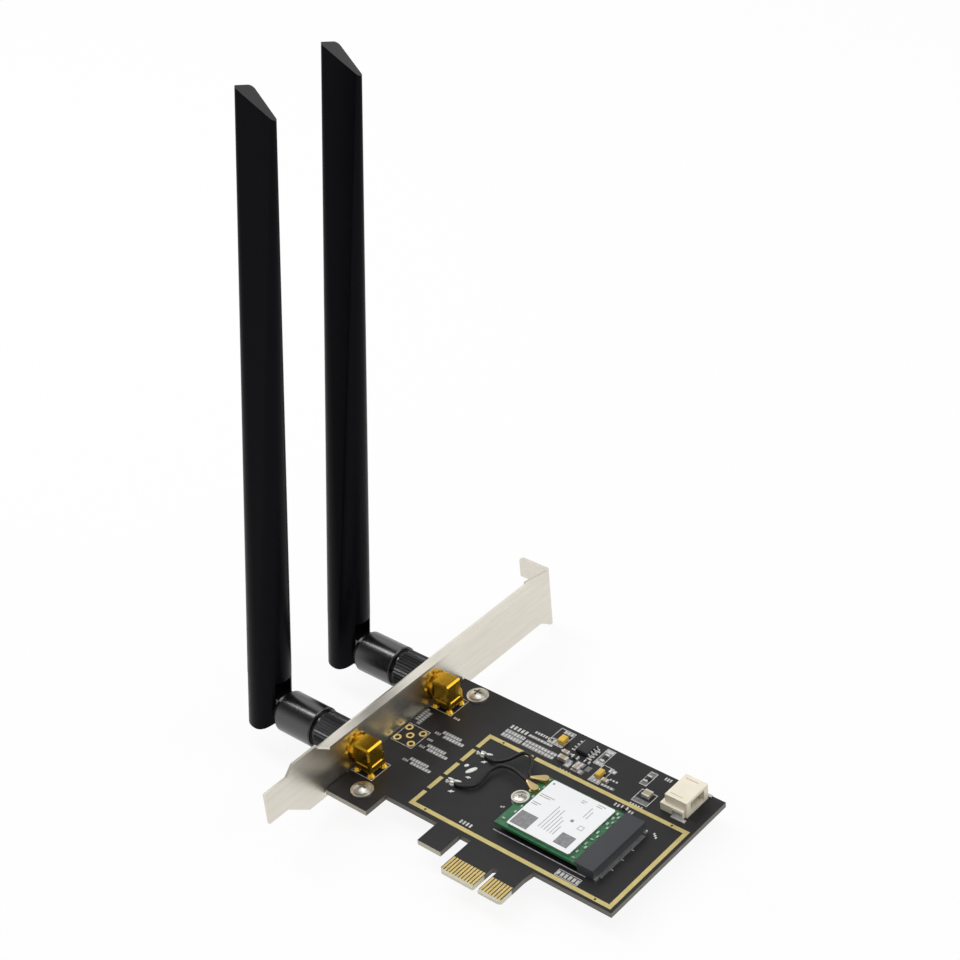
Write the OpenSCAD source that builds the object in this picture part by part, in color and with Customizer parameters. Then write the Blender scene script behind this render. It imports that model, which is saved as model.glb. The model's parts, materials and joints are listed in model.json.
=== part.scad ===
// Wireless network card for a computer's expansion slot, with two folding rod antennas.
// The origin is the centre line of the key notch in the edge connector, at the level of
// the board's lower edge and on its component face. +X runs along the board away from the
// bracket, +Y runs up the bracket to its screw flange, and +Z stands out of the board.

/* [Board] */
// Thickness of the circuit board
board_t = 1.6; // [1:0.1:2.4]
// Distance from the key notch to the board's free end
board_end = 33.5; // [31:0.5:60]
// Height of the board above its lower edge
board_h = 49.7; // [47:0.1:70]
// Depth of the foot beside the bracket, below the lower edge
foot_depth = 8.4; // [7:0.1:9]
// Length of the foot along the board
foot_len = 14.9; // [13:0.1:16]
// Gap between the board and the bracket
board_gap = 0.36; // [0.2:0.02:0.8]

/* [Edge connector] */
// Depth of the contact tongue below the lower edge
tongue_depth = 13.3; // [12:0.1:15]
// Distance from the key notch to the tongue's end nearer the free end
tongue_near = 8.15; // [7.9:0.05:9.4]
// Distance from the key notch to the tongue's other end
tongue_far = 12.1; // [11.9:0.05:12.8]
// Width of the key notch
key_w = 1.9; // [1.5:0.1:2.2]
// Depth of the key notch
key_depth = 8.6; // [7:0.1:10]
// Width of the slot between the tongue and the retaining hook
hook_gap = 3.8; // [2.5:0.1:4.2]
// Length of the retaining hook along the board
hook_len = 7.9; // [5:0.1:9]
// Depth of the retaining hook below the lower edge
hook_depth = 8.5; // [6:0.1:10]
// Spacing of the contacts
contact_pitch = 1; // [0.8:0.1:1.5]
// Width of each contact
contact_w = 0.7; // [0.4:0.05:0.75]
// Length of each contact
contact_len = 5.2; // [3:0.1:5.5]
// Height of the bevel on the tongue's edge
bevel_h = 0.6; // [0.3:0.05:1]
// Thickness of the plated copper
copper_t = 0.05; // [0.03:0.01:0.2]

/* [Copper frame] */
// Width of the bare copper frame round the module
frame_w = 1.3; // [0.8:0.1:2]
// Depth of the frame's upper side below the board's upper edge
frame_drop = 15.4; // [14.9:0.1:18]
// Distance from the key notch to the frame's broken side
frame_left = 34.7; // [33:0.1:37]
// Number of dashes on the broken side
dash_count = 5; // [3:1:8]
// Gap between the dashes
dash_gap = 1.3; // [0.8:0.1:2]

/* [Bracket] */
// Thickness of the bracket's steel
steel_t = 0.86; // [0.6:0.02:1.2]
// Distance from the key notch to the bracket's inner face
bracket_to_key = 57.66; // [56:0.02:64]
// Overall length of the bracket
bracket_len = 120; // [116:0.5:125]
// Width of the bracket
bracket_w = 18.44; // [16:0.02:20]
// Height of the flange's outer face above the board's lower edge
flange_height = 91.1; // [88:0.1:95]
// Reach of the flange from the bracket's inner face
flange_reach = 11.4; // [10:0.1:13]
// Width of the flange
flange_w = 20.95; // [19:0.05:22]
// Width of the screw notch in the flange
notch_w = 4.42; // [3.5:0.02:5]
// Depth of the screw notch
notch_depth = 4.6; // [3:0.1:6]
// Reach of the stiffening lip from the bracket's inner face
lip_reach = 3.13; // [2.4:0.01:5]
// Width of the tongue at the bracket's lower end
bracket_tongue_w = 10.2; // [8:0.1:12]
// Inner radius of the bends
bend_r = 0.5; // [0.3:0.05:1]

/* [Antenna jacks] */
// Height of the jacks' axis above the board
jack_z = 5.75; // [5.5:0.05:7]
// Height of the lower jack above the board's lower edge
jack_low = 5.4; // [4:0.1:7]
// Depth of the upper jack below the board's upper edge
jack_drop = 11.6; // [11:0.1:14]
// Radius of the threaded barrel
barrel_r = 3.175; // [2.9:0.025:3.5]
// Length of the barrel outside the bracket
barrel_out = 7.7; // [7:0.1:10]
// Width of the jack's square body
jack_w = 6; // [5:0.1:6.4]
// Spacing of the jack's posts
post_pitch = 5.08; // [4.6:0.02:5.4]
// Width across the flats of the panel nuts
nut_af = 8; // [7.4:0.1:9]
// Thickness of the panel nuts
nut_t = 2; // [1.5:0.1:2.6]
// Thickness of the lock washers
washer_t = 0.45; // [0.3:0.05:0.8]

/* [Antennas] */
// Length of the knurled coupling nut
coupler_len = 8.35; // [8:0.05:14]
// Radius of the coupling nut
coupler_r = 5.7; // [5.2:0.05:6.5]
// Number of ridges on the coupling nut
knurl_count = 38; // [24:1:72]
// Length of the elbow's round body
elbow_len = 14.3; // [10:0.1:20]
// Radius of the elbow's round body
elbow_r = 6.1; // [5.5:0.05:6.8]
// Distance from the elbow's body to the fold axis
pivot_gap = 6.6; // [6.6:0.05:8]
// Thickness of the tongue in the fold joint
fold_tongue_t = 6; // [4:0.1:7]
// Height of the tongue in the fold joint
fold_tongue_h = 8.4; // [6:0.1:9]
// Radius of the hinge pin
pin_r = 1.5; // [1:0.05:2]
// Running clearance of the joints
run_gap = 0.05; // [0.03:0.01:0.09]
// Radius of the rod antenna at its root
rod_r = 6.15; // [5.6:0.05:6.3]
// Height of the slanted tip above the fold axis, at the rod's centre
rod_len = 174; // [90:1:220]
// Slope of the tip
tip_slope = 0.58; // [0.2:0.02:1]
// Sideways slope of the tip
tip_side_slope = 0.15; // [0:0.05:0.4]
// Wall of the hollow rod
rod_wall = 1.2; // [0.8:0.1:1.4]
// Lean of the lower antenna towards the flange
lean_low = 9.1; // [0:0.1:30]
// Lean of the upper antenna towards the flange
lean_high = 8.5; // [0:0.1:30]

/* [Wireless module] */
// Length of the module's board
module_len = 30; // [28:0.5:32]
// Width of the module's board
module_w = 22; // [21.5:0.1:24]
// Thickness of the module's board
module_t = 0.8; // [0.6:0.05:1]
// Height of the module above the board
module_lift = 1.7; // [1.4:0.1:2.4]
// Height of the shield can
shield_h = 0.8; // [0.6:0.05:1.6]
// Sheet thickness of the shield can
shield_t = 0.15; // [0.1:0.05:0.25]
// Length of the socket along the board
socket_len = 6.2; // [6:0.1:8]
// Height of the socket above the module's board
socket_rise = 0.7; // [0.6:0.05:2]
// Radius of the standoff
standoff_r = 2.4; // [2.1:0.1:2.6]
// Radius of the module screw's head
module_head_r = 2.5; // [2:0.1:2.7]
// Radius of the thin antenna leads
lead_r = 0.5; // [0.4:0.01:0.65]

/* [Cable header] */
// Length of the header along the board
header_len = 7; // [6:0.1:7.4]
// Width of the header
header_w = 9.6; // [9.2:0.1:10.4]
// Height of the header
header_h = 5; // [4.4:0.1:6]
// Number of pins
header_pins_n = 4; // [2:1:4]
// Spacing of the pins
header_pitch = 1.5; // [1:0.05:1.6]

/* [Screws] */
// Radius of the bracket screws' heads
screw_head_r = 2.5; // [2.2:0.1:2.8]
// Radius of the thin flanges under the bracket screws' heads
screw_flange_r = 3.2; // [2.9:0.1:3.6]
// Height of the bracket screws' heads
screw_head_h = 1.8; // [1.4:0.1:2.4]
// Radius of the bracket screws' shanks
screw_r = 1.5; // [1.2:0.05:1.6]
// Length of the bracket screws' shanks
screw_len = 4; // [3.6:0.1:6]

/* [Hidden] */
$fn = 48;

// A cut runs past the faces it opens by this much
cut = 1;

// Board outline
board_left = -bracket_to_key + board_gap;
edge_y = -0.6;
foot_x = board_left + foot_len;
hook_x1 = -tongue_far - hook_gap;
hook_x0 = hook_x1 - hook_len;
slot_round = hook_gap / 2 - 0.1;
hook_slot_top = -0.8;
tongue_step = [0.5, 3.3];
tongue_corner = 0.8;
bevel_d = 0.35;
contact_first = 1.5;
contact_top = tongue_depth - bevel_h - contact_len;

// Copper frame
frame_low = 1.55;
frame_top = board_h - frame_drop;
frame_right = board_end - 1.65;
frame_gap_x = -19.1;
frame_gap = 0.9;
frame_hole_r = 0.35;
frame_hole_xs = [-29.9, 27.2];
dash_len = (frame_top - frame_low - (dash_count - 1) * dash_gap) / dash_count;

// Bracket: its plate lies in the YZ plane, and plate_out is the side that faces outward
plate_in = -bracket_to_key;
plate_out = plate_in - steel_t;
plate_low = -2.85;
plate_high = plate_low + bracket_w;
bend_out = bend_r + steel_t;
flange_low = -7.2;
flange_high = flange_low + flange_w;
flange_x = plate_in - flange_reach;
flange_root = flange_height - bend_out;
flange_round = 1.2;
notch_z = 4.75;
tongue_end = flange_height - bracket_len;
bracket_tongue_low = 2.7;
bracket_tongue_high = bracket_tongue_low + bracket_tongue_w;
shoulder_y = -18;
shoulder_slope = 2.7;
lower_shoulder = [-22, -14.6];
taper_start = flange_root - 4.8;
taper_drop = 3.2;
lip_start = -8.7;
lip_end = flange_height - 11.4;
lip_slant = 1.7;
tab_w = 7.8;
tab_reach = 13;
tab_round = 1.5;

// Bracket screws pass through the board into the two tabs
screw_x = plate_in + 8.81;
screw_ys = [-2.8, board_h - 4.05];
screw_hole_gap = 0.1;
screw_flange_h = 0.5;

// Antenna jacks: distances called s run outward from the key notch, along -X
jack_x = plate_in + 4.28;
jack_high = board_h - jack_drop;
jack_ys = [jack_low, jack_high];
ring_ys = [jack_low, (jack_low + jack_high) / 2, jack_high];
ring_r = 1.2;
ring_hole_r = 0.65;
post_w = 0.9;
post_below = 1;
jack_base = jack_z - 2.65;
jack_foot = 0.8;
base_w = post_pitch + post_w + 0.02;
jack_foot_chamfer = 0.25;
jack_top = jack_z + 3.45;
jack_chamfer = 0.5;
collar_r = 3.6;
tooth_r = 4.3;
tooth_depth = 0.35;
tooth_count = 16;
solder_r = 0.65;
solder_h = 0.9;
jack_bore_r = 2.3;
jack_bore_depth = 9.4;
insulator_len = 5.6;
pin_contact_r = 0.46;
collar_len = jack_x - jack_w / 2 - plate_in + jack_chamfer;
s_plate = bracket_to_key + steel_t;
s_nut = s_plate + washer_t;
s_coupler = s_nut + nut_t + 0.08;
s_coupler_end = s_coupler + coupler_len;
s_barrel = s_plate + barrel_out;
s_plug = s_barrel + 0.15;
plug_flange_t = 1.1;
s_plug_flange = s_plug + plug_flange_t;
plug_flange_r = barrel_r - 0.05;
plug_neck_r = 2.5;
plug_skirt_r = jack_bore_r - run_gap;
plug_skirt_in = 1.8;
plug_skirt_len = 3;
s_elbow = s_coupler_end + run_gap;
groove_len = 0.95;
groove_r = 5;
s_elbow_body = s_elbow + groove_len;
s_elbow_end = s_elbow_body + elbow_len;
elbow_chamfer = 1.5;
s_ring = s_elbow + 4.35;
snap_ring_t = 1.2;
snap_ring_r = 3;
s_pivot = s_elbow_end + pivot_gap;
antenna_leans = [lean_low, lean_high];

// Rod antenna: its root is round and its tip is a blunt wedge, thick on the outer side
fork_gap = fold_tongue_t / 2 + run_gap;
fork_depth = 9;
loft_z = 10;
loft_slice = 0.01;
loft_rim = 0.03;
cheek_r = rod_r + 0.2;
cheek_corner = 2.8;
tip_outer_u = -4;
tip_outer_v = 2.15;
tip_outer_r = 1;
tip_inner_u = 5.7;
tip_inner_r = 0.8;
cavity_z = 14;
cavity_top = rod_len - 10;
cavity_tip_r = 0.4;
cavity_tip_v = tip_outer_v + tip_outer_r - rod_wall - cavity_tip_r;
cavity_inner_u = 2.4;
feed_r = 1;
pin_half = 5;
radiator_w = 4;
radiator_t = 0.8;
radiator_share = 0.66;
radiator_len = rod_len * radiator_share;

// Wireless module and its socket
module_x = -10;
module_y = 6.65;
module_z = module_lift + module_t;
socket_h = module_z + socket_rise;
module_screw_y = module_y + module_w / 2;
module_notch_r = 1.75;
socket_x = module_x + module_len - 3.3;
socket_side = 0.2;
socket_lip = 0.9;
socket_jaw = 0.3;
socket_tail_pitch = 0.5;
socket_tail_n = 38;
socket_tail_w = 0.3;
socket_tail_len = 1.2;
socket_tail_h = 0.2;
socket_tab = [0.7, 1.4, 0.5];
socket_peg_r = 0.5;
socket_peg_in = 1.4;
socket_peg_len = board_t * 0.75;
standoff_bore_r = 1;
module_screw_r = 0.9;
module_head_h = 0.8;
module_rim_w = 0.45;
module_rim_h = 0.6;
module_dome_r = 1.6;
shield_x = module_x + 3.4;
shield_len = 20.8;
shield_inset = 0.9;
shield_round = 0.6;
label_t = 0.06;
coax_x = module_x + 1.2;
coax_ys = [module_y + module_w - 2.05, module_y + module_w - 6.55];
coax_r = 0.85;
coax_h = 0.9;
coax_wall = 0.15;
coax_base = [2.3, 2.3, 0.3];
coax_pin_r = 0.25;
plug_cap_r = 1.15;
plug_cap_lift = 0.42;
plug_cap_z = module_z + plug_cap_lift;
plug_cap_h = 0.8;
crimp_r = 0.5;
crimp_x = module_x - 2.1;
crimp_ys = [24.8, 23.1];
crimp_z = module_z + 0.85;

// Antenna leads: the routes lie loosely over the board
lead_route_high = [
    [-30.4, 26.9, 0.6], [-28.4, 26.4, 0.7], [-26.4, 26.3, 0.9], [-24.6, 27.2, 1.1],
    [-23.1, 28.7, 1.5], [-22, 30.5, 2], [-20.9, 32.1, 2.4], [-18.9, 32.3, 2.6],
    [-16.3, 30.3, 2.8], [-14.5, 27.7, 3.1], [-13.4, 25.7, 3.3], [-12.1, 24.8, 3.35]
];
lead_route_low = [
    [-29.8, 13.3, 0.6], [-28.1, 13.3, 0.7], [-26.2, 13.9, 0.8], [-24.6, 15.4, 0.9],
    [-24.2, 17.3, 1], [-24.4, 20, 1.1], [-24.6, 22.4, 1.3], [-23.5, 24.9, 1.6],
    [-21.6, 25.6, 1.9], [-19, 25.5, 2.3], [-15.8, 24.5, 2.8], [-12.1, 23.1, 3.35]
];
lead_sides = 8;
lead_steps = 2;

// Cable header
header_x = board_end - 11.7;
header_y = board_h - 1.3 - header_w;
header_wall = 1.2;
header_cheek = 1.8;
header_floor = 0.9;
header_roof = 0.9;
header_base_h = 2.4;
header_back = 0.9;
header_front = 0.6;
header_ears = [1, 0.4];
groove_w = 0.25;
groove_from = 0.9;
header_groove_len = 4.1;
pin_w = 0.5;
pin_z = 2.45;
pin_short = 1.4;
pin_tail = 1.1;
tab_sheet = 0.3;
tab_from = 3.2;
tab_len = 3;
tab_h = 2;
tab_pad_len = 4.4;
tab_pad_out = [0.9, 0.6];

// Small parts on the board
chip_size = [3.9, 4.9, 1.4];
chip_at = [-9.2, board_h - 4.6];
chip_lead_pitch = 1.27;
chip_lead_w = 0.42;
chip_lead_t = 0.2;
chip_span = 6;
chip_stand = 0.1;
// Each small part is its centre and its size
tantalum_parts = [
    [[-16.6, board_h - 5.7], [2, 2.8, 1.6]],
    [[0.1, board_h - 10.8], [1.5, 3, 1.5]]
];
resistor_parts = [
    [[-3, board_h - 4.6], [1.25, 3.2, 0.5]],
    [[-9.8, board_h - 8.9], [2, 1.25, 0.5]],
    [[11.4, board_h - 4.6], [1.25, 2.6, 0.5]],
    [[-6, board_h - 8.6], [1.8, 1, 0.45]],
    [[13.3, frame_top - frame_w / 2 - 1.2], [2, 1.1, 0.45]]
];
capacitor_parts = [
    [[-13, board_h - 9], [2, 1.25, 0.9]],
    [[-12.1, board_h - 11.4], [3, 1.5, 1.1]],
    [[-6.8, board_h - 12.4], [2, 1.25, 0.9]],
    [[2.6, board_h - 11.9], [2, 1.2, 0.8]],
    [[15.2, board_h - 9.8], [2.4, 2.4, 1.1]]
];
terminal_share = 0.22;

// Extrudes an outline in the YZ plane from x, towards +X
module along_x(x, len) {
    translate([x, 0, 0]) rotate([90, 0, 90]) linear_extrude(len) children();
}

// Extrudes an outline in the XZ plane from y, towards +Y
module along_y(y, len) {
    translate([0, y + len, 0]) rotate([90, 0, 0]) linear_extrude(len) children();
}

// Turns children so that their +Z runs outward, along -X, on a jack's axis
module on_jack_axis(y) {
    translate([0, y, jack_z]) rotate([0, -90, 0]) children();
}

// A tube or disc on a jack's axis, between two distances from the key notch
module jack_tube(y, s0, s1, r, r_in = 0) {
    on_jack_axis(y) translate([0, 0, s0]) difference() {
        cylinder(r = r, h = s1 - s0);
        if (r_in > 0) translate([0, 0, -cut]) cylinder(r = r_in, h = s1 - s0 + 2 * cut);
    }
}

// Antenna frame: +X as the part's, +Z along the rod at rest and the origin on the jack's axis
module antenna_frame(i) {
    translate([0, jack_ys[i], jack_z]) rotate([-antenna_leans[i], 0, 0]) children();
}

module box(x, y, z) {
    translate([x[0], y[0], z[0]]) cube([x[1] - x[0], y[1] - y[0], z[1] - z[0]]);
}

module rounded_rect_2d(size, r) {
    translate([r, 0]) square([size[0] - 2 * r, size[1]]);
    translate([0, r]) square([size[0], size[1] - 2 * r]);
    for (x = [r, size[0] - r], y = [r, size[1] - r]) translate([x, y]) circle(r);
}

// A slot that opens downward and has a round end
module notch_2d(x0, x1, bottom, top, r) {
    translate([x0, bottom]) square([x1 - x0, top - r - bottom]);
    translate([x0 + r, top - 2 * r]) square([x1 - x0 - 2 * r, 2 * r]);
    for (x = [x0 + r, x1 - r]) translate([x, top - r]) circle(r);
}

// A quarter ring about the origin, from +X to +Y
module bend_2d() {
    intersection() {
        difference() {
            circle(bend_out);
            circle(bend_r);
        }
        square(bend_out + cut);
    }
}

module chamfered_rect_2d(w, h, c) {
    polygon([
        [-w / 2 + c, -h / 2], [w / 2 - c, -h / 2], [w / 2, -h / 2 + c], [w / 2, h / 2 - c],
        [w / 2 - c, h / 2], [-w / 2 + c, h / 2], [-w / 2, h / 2 - c], [-w / 2, -h / 2 + c]
    ]);
}

// A box with chamfers on all its edges, centred on the origin
module chamfered_box(size, c) {
    intersection() {
        translate([0, 0, -size[2] / 2]) linear_extrude(size[2]) chamfered_rect_2d(size[0], size[1], c);
        along_x(-size[0] / 2, size[0]) chamfered_rect_2d(size[1], size[2], c);
        along_y(-size[1] / 2, size[1]) chamfered_rect_2d(size[0], size[2], c);
    }
}

module board_outline_2d() {
    difference() {
        polygon([
            [board_end, board_h], [board_left, board_h], [board_left, -foot_depth],
            [foot_x, -foot_depth], [foot_x, edge_y], [hook_x0, edge_y],
            [hook_x0, -hook_depth], [hook_x1, -hook_depth], [hook_x1, edge_y],
            [-tongue_far, edge_y], [-tongue_far, -tongue_depth + tongue_corner],
            [-tongue_far + tongue_corner, -tongue_depth],
            [tongue_near - tongue_corner, -tongue_depth],
            [tongue_near, -tongue_depth + tongue_corner], [tongue_near, -tongue_step[1]],
            [tongue_near + tongue_step[0], 0], [board_end, 0]
        ]);
        notch_2d(hook_x1, -tongue_far, -tongue_depth - cut, hook_slot_top, slot_round);
        notch_2d(-key_w / 2, key_w / 2, -tongue_depth - cut, key_depth - tongue_depth, key_w / 2 - 0.05);
    }
}

// The wedge that bevels one face of the contact tongue
module bevel_cut(side) {
    face = side > 0 ? 0 : -board_t;
    along_x(-tongue_far - cut, tongue_far + tongue_near + 2 * cut) polygon([
        [-tongue_depth - cut, face + side * cut], [-tongue_depth + bevel_h, face + side * cut],
        [-tongue_depth + bevel_h, face], [-tongue_depth, face - side * bevel_d],
        [-tongue_depth - cut, face - side * bevel_d]
    ]);
}

module board_hole(x, y, r) {
    translate([x, y, -board_t - cut]) cylinder(r = r, h = board_t + 2 * cut);
}

module board() color([0.10, 0.10, 0.11]) {
    difference() {
        translate([0, 0, -board_t]) linear_extrude(board_t) board_outline_2d();
        for (side = [-1, 1]) bevel_cut(side);
        for (y = screw_ys) board_hole(screw_x, y, screw_r + screw_hole_gap);
        for (y = ring_ys) {
            board_hole(jack_x, y, ring_hole_r);
            for (dx = [-0.5, 0.5], dy = [-0.5, 0.5])
                board_hole(jack_x + dx * post_pitch, y + dy * post_pitch, ring_hole_r);
        }
        board_hole(module_x, module_screw_y, standoff_bore_r + 0.45);
        for (y = [module_y + socket_peg_in, module_y + module_w - socket_peg_in])
            board_hole(socket_x + socket_len / 2, y, socket_peg_r + run_gap);
    }
}

// Contacts stand on both faces of the tongue, on both sides of the key notch
module edge_contacts() color([0.86, 0.68, 0.32]) {
    near_n = floor((tongue_near - contact_first - contact_w / 2) / contact_pitch) + 1;
    far_n = floor((tongue_far - contact_first - contact_w / 2) / contact_pitch) + 1;
    for (z = [0, -board_t - copper_t], i = [-far_n : near_n - 1]) {
        x = i < 0 ? -contact_first + (i + 1) * contact_pitch : contact_first + i * contact_pitch;
        box([x - contact_w / 2, x + contact_w / 2], [-contact_top - contact_len, -contact_top],
            [z, z + copper_t]);
    }
}

module frame_bar_2d(x0, y0, x1, y1) {
    translate([x0 - frame_w / 2, y0 - frame_w / 2]) square([x1 - x0 + frame_w, y1 - y0 + frame_w]);
}

module copper_frame() color([0.88, 0.74, 0.42]) {
    linear_extrude(copper_t) difference() {
        union() {
            frame_bar_2d(-frame_left, frame_low, frame_right, frame_low);
            frame_bar_2d(-frame_left, frame_top, frame_right, frame_top);
            frame_bar_2d(frame_right, frame_low, frame_right, frame_top);
            for (i = [0 : dash_count - 1])
                translate([-frame_left - frame_w / 2, frame_low + i * (dash_len + dash_gap)])
                    square([frame_w, dash_len]);
        }
        translate([frame_gap_x - frame_gap / 2, frame_top - frame_w]) square([frame_gap, 2 * frame_w]);
        for (x = frame_hole_xs, y = [frame_low, frame_top]) translate([x, y]) circle(frame_hole_r);
    }
}

module ring_pads() color([0.86, 0.68, 0.32]) {
    for (y = ring_ys) translate([jack_x, y, 0]) linear_extrude(copper_t) difference() {
        union() {
            circle(ring_r);
            for (dx = [-0.5, 0.5], dy = [-0.5, 0.5])
                translate([dx * post_pitch, dy * post_pitch]) circle(ring_r);
        }
        circle(ring_hole_r);
        for (dx = [-0.5, 0.5], dy = [-0.5, 0.5])
            translate([dx * post_pitch, dy * post_pitch]) circle(ring_hole_r);
    }
}

// The flat plate's outline, in Y and Z
module plate_2d() {
    difference() {
        polygon([
            [tongue_end, bracket_tongue_low], [tongue_end, bracket_tongue_high],
            [shoulder_y - shoulder_slope, bracket_tongue_high], [shoulder_y, plate_high],
            [lip_end, plate_high], [flange_root, flange_high],
            [flange_root, plate_low - taper_drop], [taper_start, plate_low],
            [lower_shoulder[1], plate_low], [lower_shoulder[0], bracket_tongue_low]
        ]);
        translate([lip_start, plate_high - bend_out]) square([lip_end - lip_start, bend_out + cut]);
        for (y = jack_ys) translate([y, jack_z]) circle(barrel_r + 0.15);
    }
}

// The stiffening lip is folded inward along the plate's upper edge
module lip() {
    along_y(lip_start, lip_end - lip_start)
        translate([plate_in + bend_r, plate_high - bend_out]) mirror([1, 0]) bend_2d();
    translate([0, 0, plate_high - steel_t]) linear_extrude(steel_t) polygon([
        [plate_in + bend_r, lip_start], [plate_in + lip_reach, lip_start + lip_slant],
        [plate_in + lip_reach, lip_end - lip_slant / 2], [plate_in + bend_r, lip_end]
    ]);
}

// The screw flange is folded outward at the plate's upper end
module flange() {
    translate([plate_out - bend_r, flange_root, plate_low - taper_drop])
        linear_extrude(flange_high - plate_low + taper_drop) bend_2d();
    flat_len = plate_out - bend_r - flange_x;
    along_y(flange_height - steel_t, steel_t) difference() {
        union() {
            translate([flange_x, flange_low]) rounded_rect_2d([flat_len, flange_w], flange_round);
            translate([plate_out - bend_r - 2 * flange_round, flange_low])
                square([2 * flange_round, flange_w]);
        }
        translate([flange_x - cut, notch_z - notch_w / 2]) square([notch_depth - notch_w / 2 + cut, notch_w]);
        translate([flange_x + notch_depth - notch_w / 2, notch_z]) circle(notch_w / 2);
    }
}

module bracket() color([0.78, 0.77, 0.74]) {
    along_x(plate_out, steel_t) plate_2d();
    lip();
    flange();
}

// Two tapped tabs reach inward under the board from the plate
module bracket_tabs() color([0.78, 0.77, 0.74]) {
    for (y = screw_ys) translate([0, 0, -board_t - steel_t]) linear_extrude(steel_t) difference() {
        union() {
            translate([plate_in, y - tab_w / 2]) square([tab_reach - tab_round, tab_w]);
            translate([plate_in + tab_reach - 2 * tab_round, y - tab_w / 2])
                rounded_rect_2d([2 * tab_round, tab_w], tab_round);
        }
        translate([screw_x, y]) circle(screw_r);
    }
}

// A cross-shaped driver recess, cut down from z
module driver_recess(z, depth, span, web) {
    translate([0, 0, z - depth]) linear_extrude(depth + cut) {
        square([span, web], center = true);
        square([web, span], center = true);
    }
}

// A pan head: a short cylinder under a flattened dome
module pan_head(r, h, recess) {
    dome = h * 0.45;
    dome_r = (r * r + dome * dome) / (2 * dome);
    difference() {
        intersection() {
            cylinder(r = r, h = h);
            translate([0, 0, h - dome_r]) sphere(dome_r, $fn = 96);
        }
        driver_recess(h, recess, r * 1.05, r * 0.24);
    }
}

module bracket_screws() color([0.80, 0.78, 0.74]) {
    for (y = screw_ys) translate([screw_x, y, 0]) {
        cylinder(r = screw_flange_r, h = screw_flange_h);
        pan_head(screw_head_r, screw_head_h, 1.1);
        translate([0, 0, -screw_len]) cylinder(r = screw_r - run_gap, h = screw_len);
    }
}

// Jack: a chamfered square body on four posts, with a collar and a threaded barrel
module jack_body(y) {
    difference() {
        union() {
            translate([jack_x, y, (jack_base + jack_top) / 2])
                chamfered_box([jack_w, jack_w, jack_top - jack_base], jack_chamfer);
            translate([jack_x, y, (jack_foot + jack_base) / 2])
                chamfered_box([base_w, base_w, jack_base - jack_foot], jack_foot_chamfer);
            jack_tube(y, bracket_to_key - collar_len, bracket_to_key, collar_r);
            jack_tube(y, bracket_to_key, s_barrel, barrel_r);
            for (dx = [-0.5, 0.5], dy = [-0.5, 0.5])
                jack_post(jack_x + dx * post_pitch, y + dy * post_pitch);
        }
        jack_tube(y, s_barrel - jack_bore_depth, s_barrel + cut, jack_bore_r);
        jack_tube(y, -jack_x - 0.6, s_barrel, pin_contact_r + 0.3);
        translate([jack_x, y, 0]) cylinder(r = pin_contact_r + 0.3, h = jack_z);
    }
}

// A post carries the body above the board and ends below it, in a cone of solder
module jack_post(x, y) {
    box([x - post_w / 2, x + post_w / 2], [y - post_w / 2, y + post_w / 2],
        [-board_t - post_below, jack_base + jack_w / 3]);
    translate([x, y, copper_t]) cylinder(r1 = ring_r, r2 = solder_r, h = solder_h);
}

module jack_low_body() color([0.80, 0.56, 0.18]) jack_body(jack_ys[0]);
module jack_high_body() color([0.80, 0.56, 0.18]) jack_body(jack_ys[1]);

module jack_insulators() color([0.93, 0.92, 0.88]) {
    for (y = jack_ys)
        jack_tube(y, s_barrel - jack_bore_depth, s_barrel - jack_bore_depth + insulator_len,
            jack_bore_r, pin_contact_r);
}

// Each centre contact runs through the insulator and turns down into the board
module jack_contacts() color([0.86, 0.68, 0.32]) {
    for (y = jack_ys) {
        jack_tube(y, -jack_x, s_barrel - 1, pin_contact_r);
        translate([jack_x, y, -board_t - post_below / 2])
            cylinder(r = pin_contact_r, h = jack_z + board_t + post_below / 2);
        translate([jack_x, y, jack_z]) sphere(pin_contact_r);
    }
}

module toothed_2d(r, depth, count) {
    polygon([
        for (k = [0 : 2 * count - 1])
            let (a = 180 * k / count, at = r - (k % 2) * depth) [at * cos(a), at * sin(a)]
    ]);
}

// A plain washer lies under each nut, and a toothed one lies round the collar inside the plate
module jack_washers() color([0.80, 0.66, 0.36]) {
    for (y = jack_ys) {
        jack_tube(y, s_plate, s_nut, nut_af / 2 + 0.3, barrel_r + run_gap);
        on_jack_axis(y) translate([0, 0, bracket_to_key - washer_t]) linear_extrude(washer_t) difference() {
            toothed_2d(tooth_r, tooth_depth, tooth_count);
            circle(collar_r + run_gap);
        }
    }
}

module jack_nuts() color([0.82, 0.62, 0.26]) {
    for (y = jack_ys) on_jack_axis(y) translate([0, 0, s_nut]) difference() {
        cylinder(r = nut_af / sqrt(3), h = nut_t, $fn = 6);
        translate([0, 0, -cut]) cylinder(r = barrel_r + run_gap, h = nut_t + 2 * cut);
    }
}

// Socket: a housing with a slot that takes the module's edge
module socket_housing() color([0.20, 0.20, 0.21]) {
    module_edge = module_x + module_len;
    ys = [module_y - socket_side, module_y + module_w + socket_side];
    difference() {
        union() {
            box([socket_x + socket_lip, socket_x + socket_len], ys, [0, socket_h]);
            box([socket_x, socket_x + socket_len], ys, [module_z + socket_jaw, socket_h]);
        }
        box([socket_x - cut, module_edge + run_gap], [module_y - run_gap, module_y + module_w + run_gap],
            [module_lift - run_gap, module_z + run_gap]);
    }
    for (y = [module_y + socket_peg_in, module_y + module_w - socket_peg_in])
        translate([socket_x + socket_len / 2, y, -socket_peg_len])
            cylinder(r = socket_peg_r, h = socket_peg_len);
}

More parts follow.
